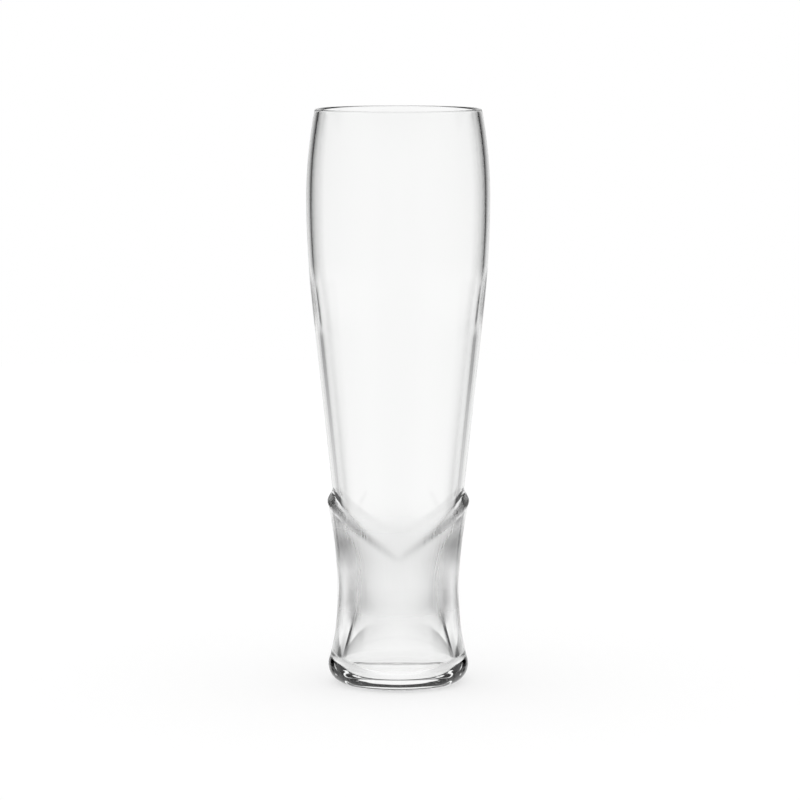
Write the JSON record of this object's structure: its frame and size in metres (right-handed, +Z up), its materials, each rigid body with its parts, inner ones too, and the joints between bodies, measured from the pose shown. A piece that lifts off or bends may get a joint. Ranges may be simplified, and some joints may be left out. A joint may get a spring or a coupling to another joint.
{
  "type": "wheat beer glass",
  "caption": "Tall wheat-beer glass: a thin barrel-shaped bowl tapers into a heavy waisted foot whose V-notched collar rises to an ear on either side.",
  "frame": {"origin": "centre of the base, on the plane that the glass stands on", "axes": "+Z up along the glass's axis, +X towards one ear of the collar, -Y towards the front notch"},
  "size_m": [0.0716, 0.0716, 0.225],
  "materials": {
    "bowl_glass": "clear, thin blown wall, fire-polished lip",
    "foot_glass": "clear, heavy moulded glass, fire-polished"
  },
  "bodies": {
    "root": {"bowl": "bowl_glass", "foot": "foot_glass"}
  },
  "joints": []
}
